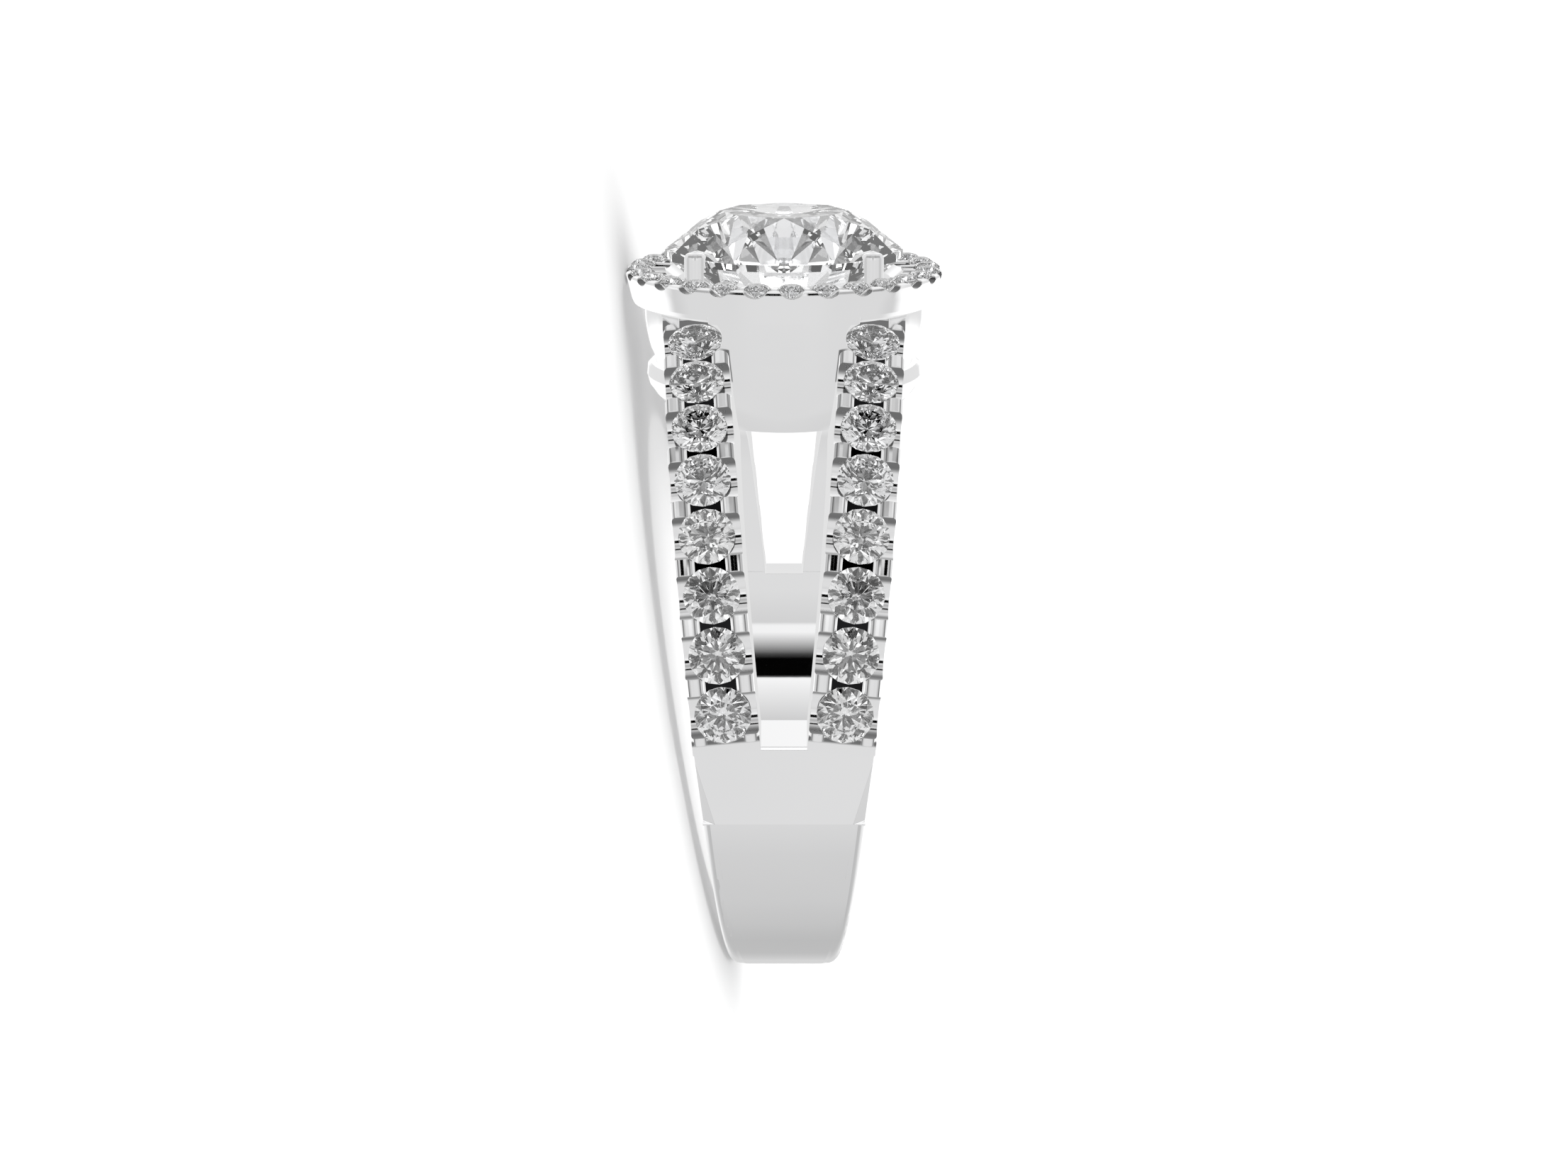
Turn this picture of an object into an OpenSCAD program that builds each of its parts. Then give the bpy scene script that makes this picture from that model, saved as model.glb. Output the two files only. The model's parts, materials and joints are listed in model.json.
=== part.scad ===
// Split shank ring: a round stone in a halo, on a band that splits into two stone-set arms on each side.
// The ring is drawn standing, finger hole along X and head up along Z, and then laid on its side at the end.

/* [Band] */
// Inside diameter of the finger hole
finger_d = 17; // [15:0.1:19]
// Thickness of the band at its bottom
band_t = 2; // [1.6:0.1:2.6]
// How far the sides lean out, per millimetre of height
side_lean = 0.096; // [0.06:0.002:0.12]
// Rounding of the band's outer corners
corner = 0.38; // [0.2:0.02:0.5]
// Height above the finger's centre at which the band splits, at its outer face
split_z = 0.65; // [0:0.05:2]

/* [Arms] */
// Width of one arm
arm_w = 2.09; // [1.9:0.01:2.3]
// Distance from the middle plane to the middle of an arm, level with the finger's centre
arm_x = 1.7; // [1.5:0.05:2]
// Radius of the arc that an arm's stones follow
arm_r = 13.35; // [13:0.05:14]
// How far behind the finger's centre that arc has its centre
arc_y = 2.63; // [2.4:0.01:2.9]
// Height of that arc's centre
arc_z = 0.42; // [0:0.01:1]
// Stones on each arm
arm_stones = 8; // [6:1:8]
// Angle along the arc of the lowest stone
first_a = 5.8; // [5:0.1:7]
// Angle from one stone to the next
step_a = 7.91; // [7.85:0.01:8.1]
// Diameter of an arm's stone
arm_stone_d = 1.76; // [1.6:0.01:1.78]

/* [Head] */
// Outer radius of the halo at its rim
halo_r = 5.3; // [5.2:0.05:5.4]
// Height of the halo's rim
halo_z = 13.88; // [13.8:0.02:14]
// Stones in the halo
halo_stones = 28; // [24:1:28]
// Diameter of a halo stone
halo_stone_d = 0.87; // [0.8:0.01:0.88]
// Radius of the circle that the halo stones sit on
halo_ring_r = 4.82; // [4.78:0.01:4.84]
// Height of the cup's lower rim
cup_z = 8.84; // [8.8:0.02:9]
// Outer radius of the cup's lower rim
cup_r = 2.75; // [2.6:0.05:2.9]

/* [Centre stone] */
// Diameter of the centre stone
centre_d = 7.96; // [7.9:0.02:8]
// Height of the top of its girdle
girdle_z = 14.53; // [14.5:0.01:14.6]
// Thickness of its girdle
girdle_t = 0.22; // [0.15:0.01:0.25]
// Height of its crown above the girdle
crown_h = 1.28; // [1.2:0.02:1.4]
// Width of a prong that holds it
prong_d = 0.72; // [0.6:0.02:0.8]

/* [Hidden] */
finger_r = finger_d / 2;
band_r = finger_r + band_t;
lean_a = atan(side_lean);
arm_half = arm_w / 2;
side_x = arm_x + arm_half / cos(lean_a);
gap = 0.02;
far = 30;

// Stone setting on the arms: rounded rails with a channel between them, cut across by a scallop at each stone.
rail_top = 0.12;
rail_in = 0.5;
rail_round = (arm_half - rail_in) / 2;
channel_deep = 0.92;
scallop_r = 0.67;
land_top = 0.03;
land_start_a = 0.6;
land_end_a = 2.5;
pave_start_a = 2.0;
last_a = first_a + (arm_stones - 1) * step_a;
pave_end_a = last_a + 3.9;
arch_a = 76;
inside_r = 7.6;
// Inside the arms the finger hole is a hair wider, from this height up.
arm_bore_z = 0.9;
arm_bore_r = finger_r + 0.02;
// The last stone's recess in the cup opens outwards at this angle above the horizontal.
recess_a = 18;

// The flat face under the split is square to this angle below the horizontal, and ends at the next one.
face_a = 7.9;
face_end_a = 10.7;
face_low_z = -band_r * sin(face_end_a);
face_proud = 0.02;
bevel_tip_z = 0.22;
corner_drop = 0.05;
band_inset = 0.03;
floor_slope = 0.077;

// Halo and cup
halo_low_z = 12.86;
halo_low_r = 5.12;
cup_top_z = 12.72;
cup_ball_r = 4.69;
// The cup is part of a ball, whose centre puts its lower rim at the stated radius.
cup_ball_z = cup_z + sqrt(cup_ball_r * cup_ball_r - cup_r * cup_r);
cup_mid_r = 4.43;
cup_mid_z = 11.2;
cup_wall = 0.55;
// Between the arms, in front and behind, the cup runs into the halo in one smooth line.
blend_low_z = 11.2;
blend_high_z = 12.84;
blend_steps = 10;
blend_sector = 28.5;
seat_r = 3.62;
halo_scallop_r = 0.46;
halo_scallop_z = halo_z + 0.25;
halo_girdle_z = halo_z + 0.03;
halo_channel_w = 0.36;
halo_channel_deep = 0.42;
halo_turn = 2.75;
rail_r = 4.64;
rail_low_z = 9.5;
rail_high_z = 10.8;
rail_sector = 58;
window_z = 11.12;
window_h = 0.36;
window_w = 2.2;
prong_at_r = 4.05;
prong_top_z = 14.86;
prong_low_z = 12.9;

// How the ring lies: the halo's rim and the band's round corner both touch the surface.
corner_x = side_x - band_inset - corner * cos(lean_a) - (band_r - corner) * sin(lean_a);
corner_z = (band_r - corner) * cos(lean_a) - corner * sin(lean_a) + corner_drop;
halo_low_edge_z = halo_z - 0.1;
rest_a = atan2(halo_r - corner_x, halo_low_edge_z + corner_z)
    - asin(corner / norm([halo_r - corner_x, halo_low_edge_z + corner_z]));
rest_z = halo_r * cos(rest_a) - halo_low_edge_z * sin(rest_a);
table_z = girdle_z + crown_h;
table_part = 0.535;
rest_high_x = table_z * cos(rest_a) + table_part * centre_d / 2 * sin(rest_a);
rest_back_x = corner_x * sin(rest_a) + corner_z * cos(rest_a) + corner;
rest_x = (rest_back_x - rest_high_x) / 2;

arm_names = ["near_left", "near_right", "far_left", "far_right"];
arm_stone_names = [for (name = arm_names, i = [1:arm_stones]) str("stone_", name, "_", i)];

// A round brilliant with its girdle's middle at height 0: table, stars, kites, girdle, pavilion and culet.
module brilliant(d, crown, girdle, pavilion, table) {
    r = d / 2;
    rt = r * table;
    lean = crown / (r - rt);
    rs = rt + (r - rt) * 0.5;
    zt = girdle / 2 + crown;
    zs = zt - (rs * cos(22.5) - rt) * lean;
    zc = -girdle / 2 - pavilion;
    rl = r * 0.22;
    zl = zc + rl * cos(22.5) * pavilion / r;
    function on(rad, z, a) = [rad * cos(a), rad * sin(a), z];
    points = concat(
        [for (i = [0:7]) on(rt, zt, 45 * i)],
        [for (i = [0:7]) on(rs, zs, 45 * i + 22.5)],
        [for (i = [0:15]) on(r, girdle / 2, 22.5 * i)],
        [for (i = [0:15]) on(r, -girdle / 2, 22.5 * i)],
        [for (i = [0:7]) on(rl, zl, 45 * i + 22.5)],
        [[0, 0, zc]]
    );
    star = 8;
    top = 16;
    low = 32;
    pav = 48;
    culet = 56;
    faces = concat(
        [for (i = [1:6]) [0, i + 1, i]],
        [for (i = [0:7]) [i, (i + 1) % 8, star + i]],
        [for (i = [0:7]) [i, star + i, top + 2 * i]],
        [for (i = [0:7]) [i, top + 2 * i, star + (i + 7) % 8]],
        [for (i = [0:7]) [star + i, top + 2 * i + 1, top + 2 * i]],
        [for (i = [0:7]) [star + i, top + (2 * i + 2) % 16, top + 2 * i + 1]],
        [for (i = [0:15]) [top + i, top + (i + 1) % 16, low + i]],
        [for (i = [0:15]) [top + (i + 1) % 16, low + (i + 1) % 16, low + i]],
        [for (i = [0:7]) [pav + i, low + 2 * i, low + 2 * i + 1]],
        [for (i = [0:7]) [pav + i, low + 2 * i + 1, low + (2 * i + 2) % 16]],
        [for (i = [0:7]) [culet, low + 2 * i, pav + i]],
        [for (i = [0:7]) [culet, pav + (i + 7) % 8, low + 2 * i]]
    );
    polyhedron(points = points, faces = faces, convexity = 2);
}

// A small brilliant in the usual proportions.
module small_stone(d) {
    brilliant(d, d * 0.15, d * 0.035, d * 0.42, 0.56);
}

// Places a child in an arm's own leaning frame, where the arm's middle plane is X = 0.
module in_arm_frame() {
    translate([-arm_x, 0, 0]) rotate([0, -lean_a, 0]) children();
}

// Places a child on the arc of stones at angle a: Z points out of the arm, Y up along it and X across it.
module on_arc(a) {
    translate([0, arc_y, arc_z]) rotate([90 - a, 0, 0]) translate([0, 0, arm_r]) children();
}

// Turns an arm's cross-section about the arc's centre, from angle a1 to angle a2.
module sweep_arc(a1, a2) {
    translate([0, arc_y, arc_z]) rotate([0, 90, 0]) rotate([0, 0, -90 - a2])
        rotate_extrude(angle = a2 - a1, $fn = 180) children();
}

// Cross-section of an arm between its stones: two rails with round tops and the channel between them.
module pave_section() {
    top = arm_r + rail_top - rail_round;
    mid = rail_in + rail_round;
    function arc_points(side) = [for (i = [0:8])
        let (a = 180 / 8 * (side > 0 ? i : 8 - i))
        [top + rail_round * sin(a), side * (mid + rail_round * cos(a))]];
    polygon(concat(
        [[inside_r, arm_half]],
        arc_points(1),
        [[arm_r - channel_deep, rail_in], [arm_r - channel_deep, -rail_in]],
        arc_points(-1),
        [[inside_r, -arm_half]]
    ));
}

// Cross-section of an arm past its last stones, where its face is plain.
module land_section() {
    polygon([[inside_r, arm_half], [arm_r + land_top, arm_half], [arm_r + land_top, -arm_half], [inside_r, -arm_half]]);
}

// Seat under an arm's stone: a cone for its pavilion, then a round wall up to height h and a cone over its crown.
module arm_seat(h) {
    rotate_extrude($fn = 64) polygon([[0, -0.85], [arm_stone_d / 2 + gap, -0.05],
        [arm_stone_d / 2 + gap, h], [arm_stone_d / 2 * 0.6, h + 0.31], [0, h + 0.31]]);
}

// One arm, with a scallop and a seat at each stone.
module near_left_arm() {
    in_arm_frame() difference() {
        union() {
            sweep_arc(pave_start_a, pave_end_a) pave_section();
            sweep_arc(land_start_a, land_end_a) land_section();
            sweep_arc(pave_end_a - 0.5, arch_a) land_section();
        }
        for (i = [0:arm_stones - 1]) on_arc(first_a + i * step_a) {
            translate([0, 0, rail_top]) rotate([0, 90, 0]) cylinder(r = scallop_r, h = arm_w + 2, center = true, $fn = 48);
            arm_seat(0.05);
        }
    }
}

// The four arms are mirror copies of one.
module four_times() {
    children();
    mirror([1, 0, 0]) children();
    mirror([0, 1, 0]) children();
    mirror([1, 0, 0]) mirror([0, 1, 0]) children();
}

// Distance from the middle to the flat outer face at height z, on the near or far side.
function face_y(z) = (band_r + face_proud + z * sin(face_a)) / cos(face_a);
// Height of the split's floor at that distance y.
function floor_z(y) = split_z + (face_y(split_z) - y) * floor_slope;
// Half the width of the band at height z.
function band_half(z) = side_x - band_inset + side_lean * z;

// The band seen along the finger: round below, with a flat face up to the split on each side.
module band_profile() {
    meet_y = band_r * cos(face_end_a + 3.3);
    meet_z = -band_r * sin(face_end_a + 3.3);
    difference() {
        union() {
            circle(r = band_r, $fn = 180);
            polygon([[-face_y(split_z), split_z], [-face_y(face_low_z), face_low_z], [-meet_y, meet_z], [0, -band_r / 2],
                [meet_y, meet_z], [face_y(face_low_z), face_low_z], [face_y(split_z), split_z]]);
        }
        polygon([[-far, floor_z(far)], [-finger_r + 1, floor_z(finger_r - 1)], [finger_r - 1, floor_z(finger_r - 1)],
            [far, floor_z(far)], [far, far], [-far, far]]);
    }
}

// What the band's front leaves between its leaning sides.
module band_sides() {
    low = -band_r - 1;
    rotate([90, 0, 0]) linear_extrude(height = far, center = true)
        polygon([[-band_half(low), low], [band_half(low), low], [band_half(2), 2], [-band_half(2), 2]]);
}

// Rounds the outer corner of one side, from below one bevel round the bottom to the other.
module round_corner() {
    translate([-side_x + band_inset, 0, -corner_drop]) rotate([0, -lean_a, 0])
        rotate([0, 90, 0]) rotate([0, 0, face_end_a - 90]) rotate_extrude(angle = 180 - 2 * face_end_a, $fn = 180)
            difference() {
                polygon([[band_r - corner, -1], [band_r - corner, corner], [band_r, corner],
                    [band_r + 0.1, corner + 0.4], [band_r + 1, corner + 0.4], [band_r + 1, -1]]);
                translate([band_r - corner, corner]) circle(r = corner, $fn = 64);
            }
}

// Straight bevel that starts as a point on the edge near the split and widens down to the round corner.
module bevel() {
    on_face = [-band_half(face_low_z) + corner, -face_y(face_low_z), face_low_z];
    on_side = [-band_half(face_low_z), -face_y(face_low_z) + corner, face_low_z];
    tip = [-band_half(bevel_tip_z), -face_y(bevel_tip_z), bevel_tip_z];
    along = (on_face - on_side) * 0.6;
    past = tip + (tip - (on_face + on_side) / 2) * 0.1;
    polyhedron(
        points = [on_face + along, on_side - along, on_face + [-3 * corner, -corner, 0], past],
        faces = [[3, 1, 0], [3, 2, 1], [3, 0, 2], [1, 2, 0]]
    );
}

// The undivided lower part of the band, before the finger hole is cut.
module lower_band() {
    difference() {
        intersection() {
            rotate([90, 0, 90]) linear_extrude(height = far, center = true) band_profile();
            band_sides();
        }
        four_times() bevel();
        for (side = [0, 1]) mirror([side, 0, 0]) round_corner();
    }
}

// Radius of the cup at height z.
function cup_at(z) = sqrt(cup_ball_r * cup_ball_r - (z - cup_ball_z) * (z - cup_ball_z));
// Radius of the halo's leaning wall, carried on down to height z.
function wall_at(z) = halo_low_r + (halo_r - halo_low_r) * (z - halo_low_z - 0.14) / (halo_z - halo_low_z - 0.24);

// Outside of the halo and the cup under it.
module head_outside() {
    rotate_extrude($fn = 120) union() {
        intersection() {
            translate([0, cup_ball_z]) circle(r = cup_ball_r, $fn = 180);
            translate([0, cup_z]) square([halo_r, cup_top_z - cup_z]);
        }
        polygon([
            [0, cup_top_z - 0.01], [cup_at(cup_top_z), cup_top_z - 0.01], [cup_at(cup_top_z), cup_top_z],
            [halo_low_r - 0.22, halo_low_z - 0.08], [halo_low_r - 0.06, halo_low_z], [halo_low_r, halo_low_z + 0.14],
            [halo_r, halo_z - 0.1], [halo_r - 0.03, halo_z - 0.03], [halo_r - 0.1, halo_z],
            [halo_ring_r + halo_channel_w / 2, halo_z], [halo_ring_r + halo_channel_w / 2, halo_z - halo_channel_deep],
            [halo_ring_r - halo_channel_w / 2, halo_z - halo_channel_deep], [halo_ring_r - halo_channel_w / 2, halo_z],
            [0, halo_z]
        ]);
    }
    blend = [for (i = [0:blend_steps])
        let (f = i / blend_steps, s = f * f * (3 - 2 * f), z = blend_low_z + (blend_high_z - blend_low_z) * f)
        [cup_at(z) * (1 - s) + wall_at(z) * s, z]];
    for (turn = [90, 270]) rotate([0, 0, turn - blend_sector]) rotate_extrude(angle = 2 * blend_sector, $fn = 120)
        polygon(concat([[cup_at(blend_low_z) - 0.3, blend_low_z]], blend,
            [[halo_low_r, halo_low_z + 0.14], [cup_at(blend_low_z) - 0.3, halo_low_z + 0.14]]));
}

// Recess in the cup for an arm's last stone and the end of its channel, up to the halo's underside.
module top_pocket() {
    tip = last_a - recess_a;
    r = arm_stone_d / 2 + gap;
    intersection() {
        in_arm_frame() {
            on_arc(last_a) {
                arm_seat(0.05);
                intersection() {
                    rotate([tip, 0, 0]) linear_extrude(height = 5, center = true)
                        polygon([for (i = [-4:28]) [r * cos(7.5 * i), r * cos(tip) * sin(7.5 * i)]]);
                    translate([-2, -3, -0.05]) cube([4, 6, 3]);
                }
            }
            sweep_arc(pave_end_a - 12, pave_end_a + 1) translate([arm_r - channel_deep, -rail_in]) square([2, 2 * rail_in]);
        }
        translate([0, 0, cup_top_z - 5 + 0.02]) cube([2 * far, 2 * far, 10], center = true);
    }
}

// Hollow of the cup, open at the top under the stone and at the bottom over the finger.
module head_hollow() {
    rotate_extrude($fn = 96) polygon([
        [0, finger_r - 1], [cup_r - cup_wall, finger_r - 1], [cup_r - cup_wall + 0.05, cup_z + 0.1],
        [cup_mid_r - cup_wall - 0.15, cup_mid_z], [seat_r, halo_z - 0.9], [seat_r, halo_z - 0.35],
        [seat_r + 0.38, halo_z - 0.05], [seat_r + 0.42, halo_z + 0.3], [0, halo_z + 0.3]
    ]);
}

// Bulging rail between the near and the far arm, under the window at each end of the finger's axis.
module side_rails() {
    for (side = [0, 1]) mirror([side, 0, 0]) rotate([0, 0, 180 - rail_sector])
        rotate_extrude(angle = 2 * rail_sector, $fn = 96) polygon([
            [2.4, rail_low_z - 0.75], [3.3, rail_low_z - 0.35], [4.05, rail_low_z], [rail_r - 0.3, rail_low_z + 0.28],
            [rail_r - 0.08, rail_low_z + 0.6], [rail_r, rail_low_z + 0.9], [rail_r - 0.03, rail_high_z - 0.1],
            [rail_r - 0.14, rail_high_z], [2.4, rail_high_z]
        ]);
}

// Long window through each end of the cup.
module windows() {
    for (side = [-1, 1]) translate([side * 4.4, 0, window_z]) rotate([0, 90, 0]) {
        cube([window_h, window_w - window_h, 2], center = true);
        for (end = [-1, 1]) translate([0, end * (window_w - window_h) / 2, 0])
            cylinder(d = window_h, h = 2, center = true, $fn = 32);
    }
}

// A post with a domed top, at each quarter between the arms.
module prongs() {
    dome = [for (i = [0:4]) [prong_d / 2 - 0.2 + 0.2 * cos(22.5 * i), prong_top_z - 0.26 + 0.2 * sin(22.5 * i)]];
    for (i = [0:3]) rotate([0, 0, 45 + 90 * i]) translate([prong_at_r, 0, 0])
        rotate_extrude($fn = 48) polygon(concat([[0, prong_low_z], [prong_d / 2, prong_low_z]], dome, [[0, prong_top_z]]));
}

// Space that the centre stone takes, with a little room round it.
module centre_seat() {
    r = centre_d / 2 + gap;
    low = girdle_z - girdle_t - gap;
    rotate_extrude($fn = 120) polygon([
        [0, low - 3.5], [r, low], [r, girdle_z + gap], [r * table_part, table_z + gap], [0, table_z + gap]
    ]);
}

// Places a child at each stone of the halo.
module at_halo_stones() {
    for (i = [0:halo_stones - 1]) rotate([0, 0, 360 / halo_stones * i + halo_turn])
        translate([0, -halo_ring_r, 0]) children();
}

// Scallop and seat for each stone of the halo.
module halo_cuts() {
    at_halo_stones() {
        translate([0, 0, halo_scallop_z]) rotate([90, 0, 0]) cylinder(r = halo_scallop_r, h = 1.7, center = true, $fn = 40);
        translate([0, 0, halo_girdle_z]) rotate_extrude($fn = 48) polygon([
            [0, -0.42], [halo_stone_d / 2 + gap, -0.03], [halo_stone_d / 2 + gap, 0.2], [0, 0.2]
        ]);
    }
}

// The finger hole, a hair wider between the arms.
module finger_hole() {
    rotate([90, 0, 90]) linear_extrude(height = far, center = true) {
        circle(r = finger_r, $fn = 180);
        intersection() {
            circle(r = arm_bore_r, $fn = 180);
            translate([-far, arm_bore_z]) square([2 * far, far]);
        }
    }
}

// All the metal: band, arms, head and prongs, soldered into one.
module ring_metal() {
    color("lightgray") lay() difference() {
        union() {
            lower_band();
            four_times() near_left_arm();
            difference() {
                head_outside();
                halo_cuts();
                four_times() top_pocket();
            }
            side_rails();
            prongs();
        }
        finger_hole();
        head_hollow();
        windows();
        centre_seat();
    }
}

module centre_stone() {
    color("white") lay() translate([0, 0, girdle_z - girdle_t / 2])
        brilliant(centre_d, crown_h, girdle_t, 3.42, table_part);
}

module halo_stone_ring() {
    color("white") lay() at_halo_stones() translate([0, 0, halo_girdle_z]) small_stone(halo_stone_d);
}

// One stone of one arm: which is 0 near left, 1 near right, 2 far left, 3 far right.
module arm_stone(which, i) {
    color("white") lay() mirror([which % 2, 0, 0]) mirror([0, which >= 2 ? 1 : 0, 0])
        in_arm_frame() on_arc(first_a + (i - 1) * step_a) small_stone(arm_stone_d);
}

// Lays the standing ring on its side, head towards +X, on the plane Z = 0.
module lay() {
    translate([rest_x, 0, rest_z]) rotate([180, -90 - rest_a, 0]) children();
}

ring_metal();
centre_stone();
halo_stone_ring();  // halo_stones
for (which = [0:3], i = [1:arm_stones])
    arm_stone(which, i);
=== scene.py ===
import json
import math
import bpy
from mathutils import Matrix, Vector

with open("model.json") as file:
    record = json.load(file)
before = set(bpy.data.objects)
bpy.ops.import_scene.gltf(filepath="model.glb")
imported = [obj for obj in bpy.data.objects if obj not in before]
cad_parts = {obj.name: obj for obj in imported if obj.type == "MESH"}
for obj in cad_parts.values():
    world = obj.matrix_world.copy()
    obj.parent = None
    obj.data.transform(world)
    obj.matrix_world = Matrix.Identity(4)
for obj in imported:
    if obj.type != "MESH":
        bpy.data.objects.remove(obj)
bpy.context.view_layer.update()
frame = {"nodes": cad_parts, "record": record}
mm = 0.001

# how the ring lies: its finger hole is the record's mount
hole = frame["record"]["mounts"][0]
holeCentre = Vector(hole["pos_m"])
fingerWay = Vector(hole["axis"])                             # along the finger
headWay = Vector((fingerWay.z, 0, -fingerWay.x))             # from the hole towards the centre stone
deepWay = Vector((0, -1, 0))                                 # away from the camera


def onRing(x, y, z):
    return holeCentre + (fingerWay * x + deepWay * y + headWay * z) * mm


# camera

camera = {
    "place": (0, -77.115, 25.177),     # millimetres from the finger hole's centre
    "lookAt": (0, 0, 2.707),
    "lens": 52.84,
    "sensor": 36,
    "nearest": 0.001, "farthest": 50,
}


def makeCamera():
    place, target = onRing(*camera["place"]), onRing(*camera["lookAt"])
    data = bpy.data.cameras.new("photoCamera")
    data.lens, data.sensor_width, data.sensor_fit = camera["lens"], camera["sensor"], "HORIZONTAL"
    data.clip_start, data.clip_end = camera["nearest"], camera["farthest"]
    cam = bpy.data.objects.new("photoCamera", data)
    bpy.context.scene.collection.objects.link(cam)
    ahead = (target - place).normalized()
    right = ahead.cross(headWay).normalized()                # the head stands up in the picture
    up = right.cross(ahead)
    turn = Matrix((right, up, -ahead)).transposed().to_4x4()
    cam.matrix_world = Matrix.Translation(place) @ turn
    bpy.context.scene.camera = cam


makeCamera()
print("camera placed")


# shader maths

class Wire:
    def __init__(self, tree, socket):
        self.tree, self.socket = tree, socket

    def maths(self, operation, *values):
        node = self.tree.nodes.new("ShaderNodeMath")
        node.operation = operation
        for slot, value in zip(node.inputs, values):
            plug(self.tree, slot, value)
        return Wire(self.tree, node.outputs[0])

    def __add__(self, other): return self.maths("ADD", self, other)
    def __radd__(self, other): return self.maths("ADD", other, self)
    def __sub__(self, other): return self.maths("SUBTRACT", self, other)
    def __rsub__(self, other): return self.maths("SUBTRACT", other, self)
    def __mul__(self, other): return self.maths("MULTIPLY", self, other)
    def __rmul__(self, other): return self.maths("MULTIPLY", other, self)
    def __truediv__(self, other): return self.maths("DIVIDE", self, other)
    def __pow__(self, other): return self.maths("POWER", self, other)
    def __abs__(self): return self.maths("ABSOLUTE", self)

    def least(self, other): return self.maths("MINIMUM", self, other)
    def most(self, other): return self.maths("MAXIMUM", self, other)

    def between(self, low, high):          # 0 below low, 1 above high, smooth in between
        node = self.tree.nodes.new("ShaderNodeMapRange")
        node.interpolation_type = "SMOOTHSTEP"
        plug(self.tree, node.inputs["Value"], self)
        node.inputs["From Min"].default_value, node.inputs["From Max"].default_value = low, high
        return Wire(self.tree, node.outputs["Result"])

    def inside(self, low, high, soft):     # 1 between low and high
        return self.between(low - soft, low + soft) * (1 - self.between(high - soft, high + soft))

    def fromNearest(self, step):           # how far from the nearest whole number of steps
        return self.maths("FLOORED_MODULO", self + step / 2, step) - step / 2


def plug(tree, slot, value):
    if isinstance(value, Wire):
        tree.links.new(value.socket, slot)
    else:
        slot.default_value = value


def mix(one, other, share):
    return one * (1 - share) + other * share


def distance(one, other):
    return (one * one + other * other) ** 0.5


class Shader:
    def __init__(self, tree):
        self.tree = tree
        tree.nodes.clear()

    # a socket is given by its name, or as n and its number
    def node(self, kind, settings=None, output=0, **inputs):
        made = self.tree.nodes.new(kind)
        for name, value in (settings or {}).items():
            if name == "stops":
                self.setStops(made.color_ramp, value)
            else:
                setattr(made, name, value)
        for name, value in inputs.items():
            numbered = name[0] == "n" and name[1:].isdigit()
            plug(self.tree, made.inputs[int(name[1:]) if numbered else name.replace("_", " ")], value)
        return Wire(self.tree, made.outputs[output])

    def setStops(self, ramp, stops):
        while len(ramp.elements) < len(stops):
            ramp.elements.new(0.5)
        for element, (at, colour) in zip(ramp.elements, stops):
            element.position, element.color = at, (*colour, 1)

    def coords(self, which="Object"):
        return self.node("ShaderNodeTexCoord", output=which)

    def noise(self, where, scale, detail):
        return self.node("ShaderNodeTexNoise", output="Fac", Vector=where, Scale=scale, Detail=detail)

    def ramp(self, value, stops):
        return self.node("ShaderNodeValToRGB", {"stops": stops}, Fac=value)

    def greyRamp(self, value, stops):
        return self.ramp(value, [(at, (tone,) * 3) for at, tone in stops])

    def along(self, vector, axis):         # how far a vector reaches along an axis
        settings = {"operation": "DOT_PRODUCT"}
        return self.node("ShaderNodeVectorMath", settings, output="Value", n0=vector, n1=tuple(axis))

    def facing(self, axis):                # how far the surface faces along an axis
        return self.along(self.node("ShaderNodeNewGeometry", output="Normal"), axis)

    def path(self, output):
        return self.node("ShaderNodeLightPath", output=output)


# world: a studio of big soft panels, with black flags for the polish and the stones to catch.
# A direction is told by its reach along the finger (side), away from the camera (deep) and towards the head (up).

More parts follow.
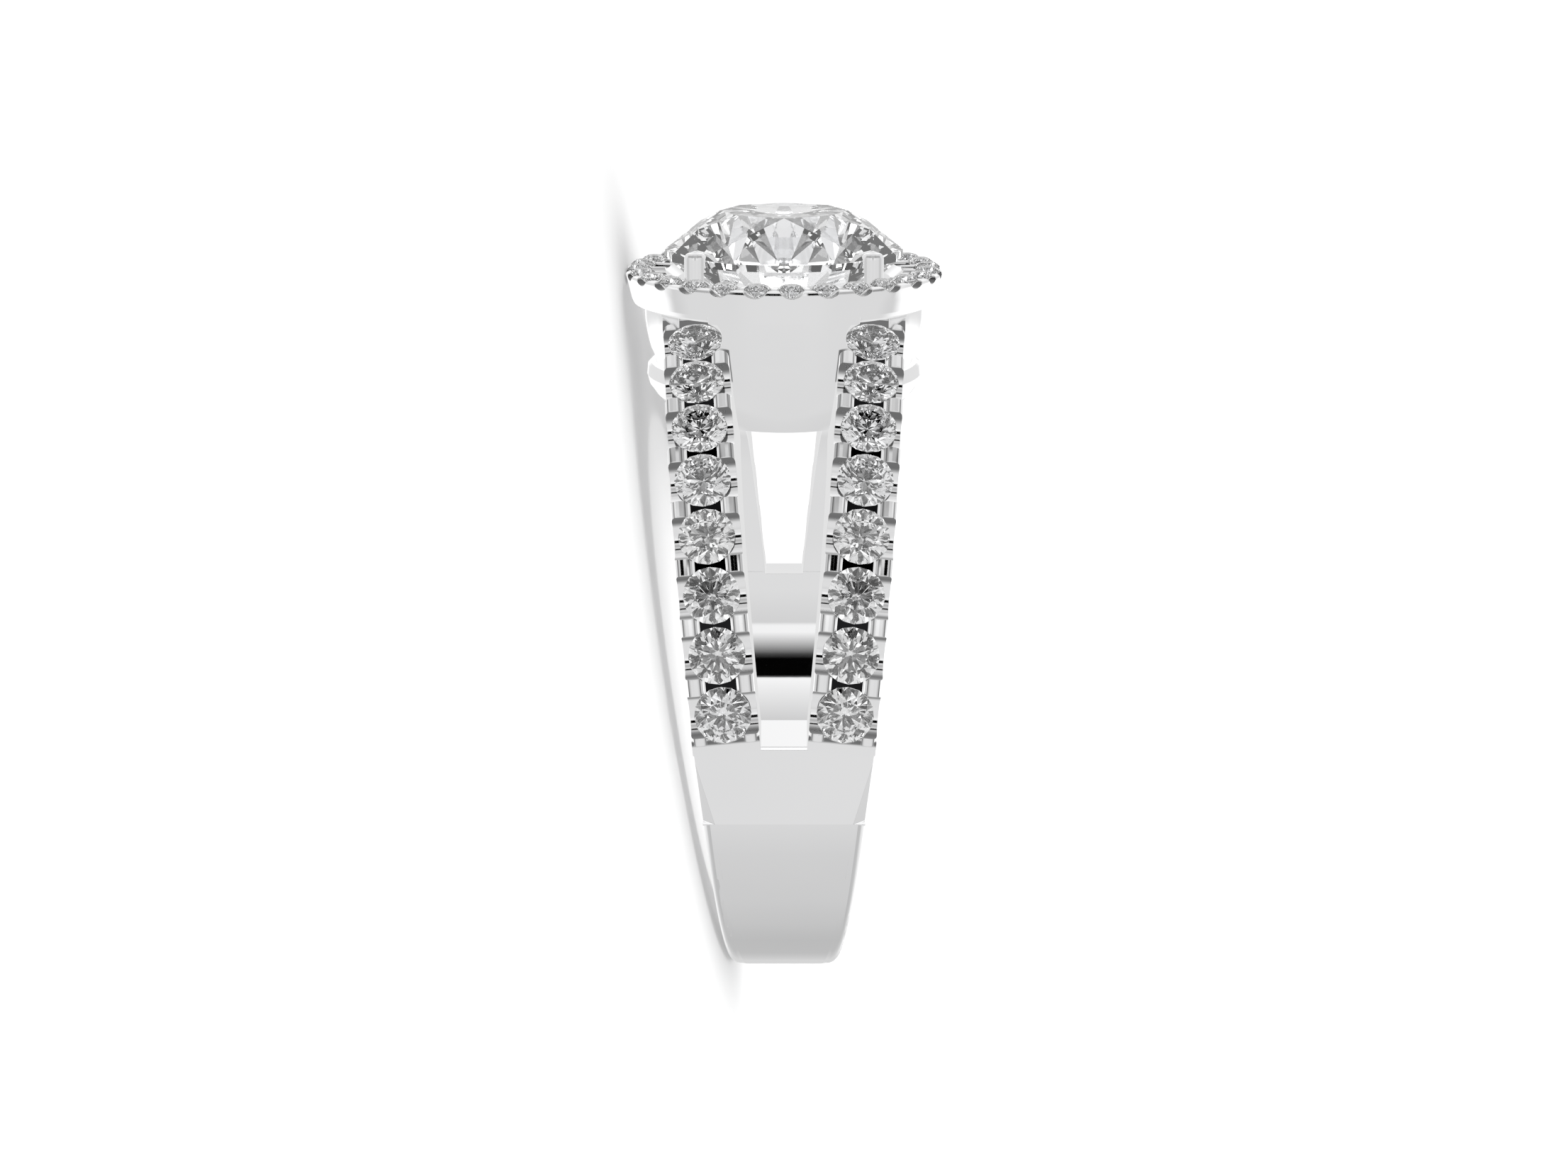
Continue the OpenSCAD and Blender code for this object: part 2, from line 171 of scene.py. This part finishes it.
studio = {
    "full": 1.25,                          # the background, and the brightest that a panel can be
    # panels, set out by height in degrees: in front, in the middle and before the arms, and behind the ring
    "middle": ((-90, .745), (-60, .75), (-44, .755), (-32, .765), (-18, .76), (-2, .68), (-0.5, .95), (3, .95),
               (14, .06), (16, .001), (25.2, .001), (26, .98), (34, .85), (44, .70), (60, .45), (90, .55)),
    "arms": ((-90, .745), (-60, .75), (-44, .755), (-32, .765), (-18, .76), (-1, .76), (12, .80), (22, .97),
             (25.5, .97), (26.5, .001), (40, .001), (41.5, .80), (54, .42), (66, .62), (69.5, .70), (70.5, .001),
             (76.5, .001), (78, .62), (90, .66)),
    "behind": ((-90, .745), (-69, .72), (-56, .70), (-45, .80), (-33, 1.15), (8, 1.15), (15, 1.1), (35, .92),
               (60, .76), (90, .68)),
    "armsFrom": (0.035, 0.05), "behindFrom": (0.05, 0.25),
    # patches: two numbers are a soft edge, and three are a strip's edges and their softness
    "slit": {"tone": 0.85, "side": (0.19, 0.26, 0.01), "up": (0.35, 0.7, 0.03)},
    "aside": {"tone": 0.74, "side": (0.3, 0.6)},
    "farAside": {"tone": 0.62, "side": (0.85, 0.93)},
    "lowUnder": (0.1, 0.4),
    "dusk": {"tone": 0.45, "side": (0.5, 0.6), "up": (0.4, 0.5)},
    "post": {"tone": 0.01, "side": (0.32, 0.42, 0.008), "up": (0.30, 0.78, 0.03)},
    "centreBehind": {"tone": 0.77, "up": (-0.75, -0.6)},
    "centreSide": (0.1, 0.25), "centreUnder": (0.1, 0.2),
    "duskBehind": {"tone": 0.8, "side": (0.25, 0.4), "up": (-0.24, -0.18)},
    # what only the stones catch: more contrast, and the dark of whoever looks at them
    "stoneContrast": 3, "stoneLight": 1.95,
    "viewerHeight": 16.2, "viewerReach": (22, 15), "viewerDark": 0.95,     # degrees
}


def makeWorld():
    world = bpy.data.worlds.new("studio")
    bpy.context.scene.world = world
    world.use_nodes = True
    world.cycles.sampling_method = "NONE"      # the panels are so big that aiming at them only costs time
    s = Shader(world.node_tree)
    way = s.coords("Generated")
    reach = {"side": abs(s.along(way, fingerWay)), "deep": s.along(way, deepWay), "up": s.along(way, headWay)}
    side, deep, up = reach["side"], reach["deep"], reach["up"]
    height = up.maths("ARCSINE", up) / math.pi + 0.5

    def panel(name):
        full = studio["full"]
        return s.greyRamp(height, [((degrees + 90) / 180, tone / full) for degrees, tone in studio[name]]) * full

    def patch(light, name, mask=None):
        for axis, wire in reach.items():
            edges = studio[name].get(axis)
            if edges:
                part = wire.between(*edges) if len(edges) == 2 else wire.inside(*edges)
                mask = part if mask is None else mask * part
        return mix(light, studio[name]["tone"], mask)

    front = mix(panel("middle"), patch(panel("arms"), "slit"), side.between(*studio["armsFrom"]))
    low = 1 - up.between(*studio["lowUnder"])
    front = patch(front, "aside", low)
    front = patch(front, "farAside", low)
    front = patch(front, "dusk")
    front = patch(front, "post")
    centre = (1 - side.between(*studio["centreSide"])) * (1 - up.between(*studio["centreUnder"]))
    behind = patch(panel("behind"), "centreBehind", centre)
    behind = patch(behind, "duskBehind")
    light = mix(front, behind, deep.between(*studio["behindFrom"]))

    tilt = math.radians(studio["viewerHeight"])
    viewerEdge = [math.cos(math.radians(degrees)) for degrees in studio["viewerReach"]]
    nearViewer = (up * math.sin(tilt) - deep * math.cos(tilt)).between(*viewerEdge)
    caught = light ** studio["stoneContrast"] * studio["stoneLight"] * (1 - studio["viewerDark"] * nearViewer)
    light = mix(light, caught, s.path("Transmission Depth").least(1))
    light = mix(light, studio["full"], s.path("Is Camera Ray"))
    back = s.node("ShaderNodeBackground", Color=(1, 1, 1, 1), Strength=light)
    s.tree.links.new(back.socket, s.tree.nodes.new("ShaderNodeOutputWorld").inputs["Surface"])


makeWorld()


# floor, and a lamp for it alone: the metal and the stones see neither

floorSet = {
    "size": 3.0, "tone": (0.93, 0.93, 0.93), "grain": 0.995, "grainScale": 900, "roughness": 0.6,
    "lampPower": 1.6, "lampWidth": 70,         # degrees
}


def makeFloorLight():
    lamp = bpy.data.objects.new("floorLight", bpy.data.lights.new("floorLight", "SUN"))
    lamp.data.energy, lamp.data.angle = floorSet["lampPower"], math.radians(floorSet["lampWidth"])
    lamp.visible_glossy = lamp.visible_transmission = False
    bpy.context.scene.collection.objects.link(lamp)


makeFloorLight()


def newMaterial(name):
    material = bpy.data.materials.new(name)
    material.use_nodes = True
    return material, Shader(material.node_tree)


def finishMaterial(material, s, **inputs):
    surface = s.node("ShaderNodeBsdfPrincipled", **inputs)
    s.tree.links.new(surface.socket, s.tree.nodes.new("ShaderNodeOutputMaterial").inputs["Surface"])
    return material


def makeFloor():
    bpy.ops.object.select_all(action="DESELECT")
    bpy.ops.mesh.primitive_plane_add(size=floorSet["size"], location=(0, 0, 0))
    floor = bpy.context.object
    floor.name = "studioFloor"
    material, s = newMaterial("floorPaper")
    grain = s.noise(s.coords(), floorSet["grainScale"], 4)
    darker = tuple(channel * floorSet["grain"] for channel in floorSet["tone"])
    tone = s.ramp(grain, [(0.3, darker), (0.7, floorSet["tone"])])
    floor.data.materials.append(finishMaterial(material, s, Base_Color=tone, Roughness=floorSet["roughness"]))
    floor.visible_glossy = floor.visible_transmission = False


makeFloor()
print("studio ready")


# metal: the CAD metal, polished, with painted shade where it would mirror itself: in crevices, channels, scallops and
# seats, and low down outside

metalSet = {                   # millimetres
    "tones": ((0.93, 0.93, 0.935), (0.95, 0.95, 0.955)),
    "dark": (0.015, 0.015, 0.016),
    "roughness": (0.012, 0.035), "cloudScale": 180, "fineScale": 2600,
    "softEdge": 0.03, "bump": 0.02, "bumpHeight": 0.00001,
    # painted shade in crevices on the arms and high on the head, from ambient occlusion
    "paintedCreviceShadeReach": 0.1, "paintedCreviceShade": (0.4, 0.95), "paintedCreviceShadeDark": 0.6, "headAbove": (13.4, 13.5),
    # painted shade low down outside, darker towards the bottom, as shares of the way up to the finger's centre
    "paintedLowShade": ((0, .68), (.324, .70), (.41, .77), (.519, .84), (.705, .885), (.813, .95), (.815, 1)),
    "paintedLowShadeDepth": 10.5, "paintedLowShadeOutside": (9.3, 9.7),
    # painted shade on the lower chamfers
    "chamferDark": 0.28, "chamferFacing": (0.4, 0.96, 0.03), "chamferUnder": (0.2, 0.3),
}
armSet = {                     # millimetres and degrees, as in the part's source
    "middle": 1.7, "lean": math.atan(0.096), "halfWidth": (1.06, 1.1), "sideFacing": (0.75, 0.85),
    "arcCentre": (2.63, 0.42), "arcRadius": 13.35, "faceDepth": (1.15, 1.05), "faceFrom": (0.4, 0.5),
    "channel": (0.51, 0.55), "channelDepth": (0.2, 0.16), "channelFrom": (0.7, 0.9),
    "first": math.radians(5.8), "step": math.radians(7.91),
    # painted shade in the scallops and round the seats
    "scallopEnd": (0.46, 0.6), "scallopTop": (0.04, 0.09), "scallopDark": 0.8,
    "seat": (0.83, 0.86), "seatDepth": (0.14, 0.1), "seatDark": 0.9,
}
haloSet = {                    # millimetres and degrees, as in the part's source
    "ring": 4.82, "step": math.radians(360 / 28), "turn": math.radians(2.75),
    # painted shade on the seat walls round the halo's stones
    "seat": (0.53, 0.55), "heights": (13.05, 13.84, 0.02), "outwards": (0.2, 0.4), "dark": 0.85,
}


# where a point lies, in millimetres from the finger hole's centre: along the finger, away from the camera, and up
def places(s):
    where = s.node("ShaderNodeVectorMath", {"operation": "SUBTRACT"}, n0=s.coords(), n1=tuple(holeCentre))
    return [s.along(where, axis) / mm for axis in (fingerWay, deepWay, headWay)]


# painted shade: 1 on the walls of the seats round the halo's stones, where they face the stones
def haloSeats(s, side, deep, up):
    out = distance(side, deep)
    turn = deep.maths("ARCTAN2", deep, side) - haloSet["turn"]
    aside = turn.fromNearest(haloSet["step"]) * haloSet["ring"]
    near = 1 - distance(aside, out - haloSet["ring"]).between(*haloSet["seat"])
    outwards = (s.facing(fingerWay) * side + s.facing(deepWay) * deep) / out
    return near * up.inside(*haloSet["heights"]) * (1 - outwards.between(*haloSet["outwards"]))


# where the arms' faces are, and how dark the painted shade in their channels, scallops and seats is
def recess(side, deep, up):
    arc, (arcFar, arcTall) = armSet["arcRadius"], armSet["arcCentre"]
    cos, sin = math.cos(armSet["lean"]), math.sin(armSet["lean"])
    across = (side - armSet["middle"]) * cos - up * sin
    far, tall = deep + arcFar, up * cos + (side - armSet["middle"]) * sin - arcTall
    radius = distance(far, tall)
    fromStone = abs((tall.maths("ARCTAN2", tall, far) * arc - armSet["first"] * arc).fromNearest(armSet["step"] * arc))

    def below(depths):         # 1 deeper than the first depth under the arc, 0 above the second
        return 1 - radius.between(arc - depths[0], arc - depths[1])

    onArm = (1 - below(armSet["faceDepth"])) * tall.between(*armSet["faceFrom"])
    onArm = onArm * (1 - abs(across).between(*armSet["halfWidth"]))
    channel = (1 - abs(across).between(*armSet["channel"])) * below(armSet["channelDepth"])
    channel = channel * tall.between(*armSet["channelFrom"])
    scallop = fromStone.between(*armSet["scallopEnd"]) * below([-top for top in armSet["scallopTop"]])
    seat = (1 - distance(across, fromStone).between(*armSet["seat"])) * below(armSet["seatDepth"])
    return onArm, onArm * channel.most(scallop * armSet["scallopDark"]).most(seat * armSet["seatDark"])


# how bright the polish is painted: 1 above, and painted shade low down outside and on the lower chamfers
def paintedLowShade(s, deep, up):
    outside = distance(deep, up).between(*metalSet["paintedLowShadeOutside"])
    low = s.greyRamp((up + metalSet["paintedLowShadeDepth"]) / metalSet["paintedLowShadeDepth"], metalSet["paintedLowShade"])
    chamfer = abs(s.facing(fingerWay)).inside(*metalSet["chamferFacing"]) * (1 - up.between(*metalSet["chamferUnder"]))
    return 1 - outside * (1 - low).most(chamfer * metalSet["chamferDark"])


def polishedMetal():
    material, s = newMaterial("polishedWhiteGold")
    where = s.coords()
    cloud = s.noise(where, metalSet["cloudScale"], 3)
    fine = s.noise(where, metalSet["fineScale"], 2)
    side, deep, up = places(s)
    # painted shade on the walls of the halo's seats
    seats = haloSeats(s, side, deep, up) * haloSet["dark"]
    side, deep = abs(side), abs(deep)      # the arms are four alike
    # painted shade in the arms' channels, scallops and seats, not on their flat sides
    onArm, channels = recess(side, deep, up)
    channels = channels * (1 - abs(s.facing(fingerWay)).between(*armSet["sideFacing"]))

    # painted shade in crevices, from ambient occlusion
    paintedCreviceShade = s.node("ShaderNodeAmbientOcclusion", {"samples": 3}, output="AO", Distance=metalSet["paintedCreviceShadeReach"] * mm)
    paintedCreviceShade = (1 - paintedCreviceShade.between(*metalSet["paintedCreviceShade"])) * metalSet["paintedCreviceShadeDark"]
    paintedCreviceShade = paintedCreviceShade * onArm.most(up.between(*metalSet["headAbove"]))
    # painted shade: the polish is darkened towards the dark tone in crevices, channels, scallops, seats and low down
    # outside
    bright = (1 - paintedCreviceShade.most(channels).most(seats)) * paintedLowShade(s, deep, up)
    tone = s.ramp(cloud, [(0.3, metalSet["tones"][0]), (0.7, metalSet["tones"][1])])
    tone = s.node("ShaderNodeMix", {"data_type": "RGBA"}, output=2, n0=1 - bright, n6=tone, n7=(*metalSet["dark"], 1))

    smooth, rough = metalSet["roughness"]
    edge = s.node("ShaderNodeBevel", {"samples": 3}, Radius=metalSet["softEdge"] * mm)
    bump = s.node("ShaderNodeBump", Strength=metalSet["bump"], Distance=metalSet["bumpHeight"],
                  Height=fine, Normal=edge)
    return finishMaterial(material, s, Base_Color=tone, Metallic=1.0, Normal=bump,
                          Roughness=smooth + (rough - smooth) * cloud)


metal = frame["nodes"]["ring_metal"]
metal.visible_glossy = False   # a clean studio polish: it mirrors the panels and not the ring itself
metal.data.materials.clear()
metal.data.materials.append(polishedMetal())
print("metal polished:", len(metal.data.polygons), "faces")


# stones: the CAD brilliants with a clear, strongly bending material

stoneSet = {"ior": 2.417, "tints": ((0.985, 0.99, 1.0), (1.0, 1.0, 1.0)), "cloudScale": 250, "roughness": 0.0}


def clearStone():
    material, s = newMaterial("clearStone")
    cloud = s.noise(s.coords(), stoneSet["cloudScale"], 2)
    tint = s.ramp(cloud, [(0.35, stoneSet["tints"][0]), (0.65, stoneSet["tints"][1])])
    outside = 1 - s.path("Transmission Depth").least(1)
    shown = 1 - s.path("Is Reflection Ray") * outside        # the metal's polish doesn't mirror the stones either
    return finishMaterial(material, s, Base_Color=tint, Roughness=stoneSet["roughness"], IOR=stoneSet["ior"],
                          Transmission_Weight=1.0, Alpha=shown)


def dressStones():
    material = clearStone()
    for name, node in frame["nodes"].items():
        if name != "ring_metal":
            node.data.materials.clear()
            node.data.materials.append(material)


dressStones()
print("stones dressed")


# picture: plain tones, and enough bounces for light to find its way out of a stone

view = bpy.context.scene.view_settings
view.view_transform, view.look, view.exposure, view.gamma = "Standard", "None", 0, 1
cycles = bpy.context.scene.cycles
cycles.max_bounces, cycles.glossy_bounces = 16, 8
cycles.transmission_bounces, cycles.transparent_max_bounces = 14, 24
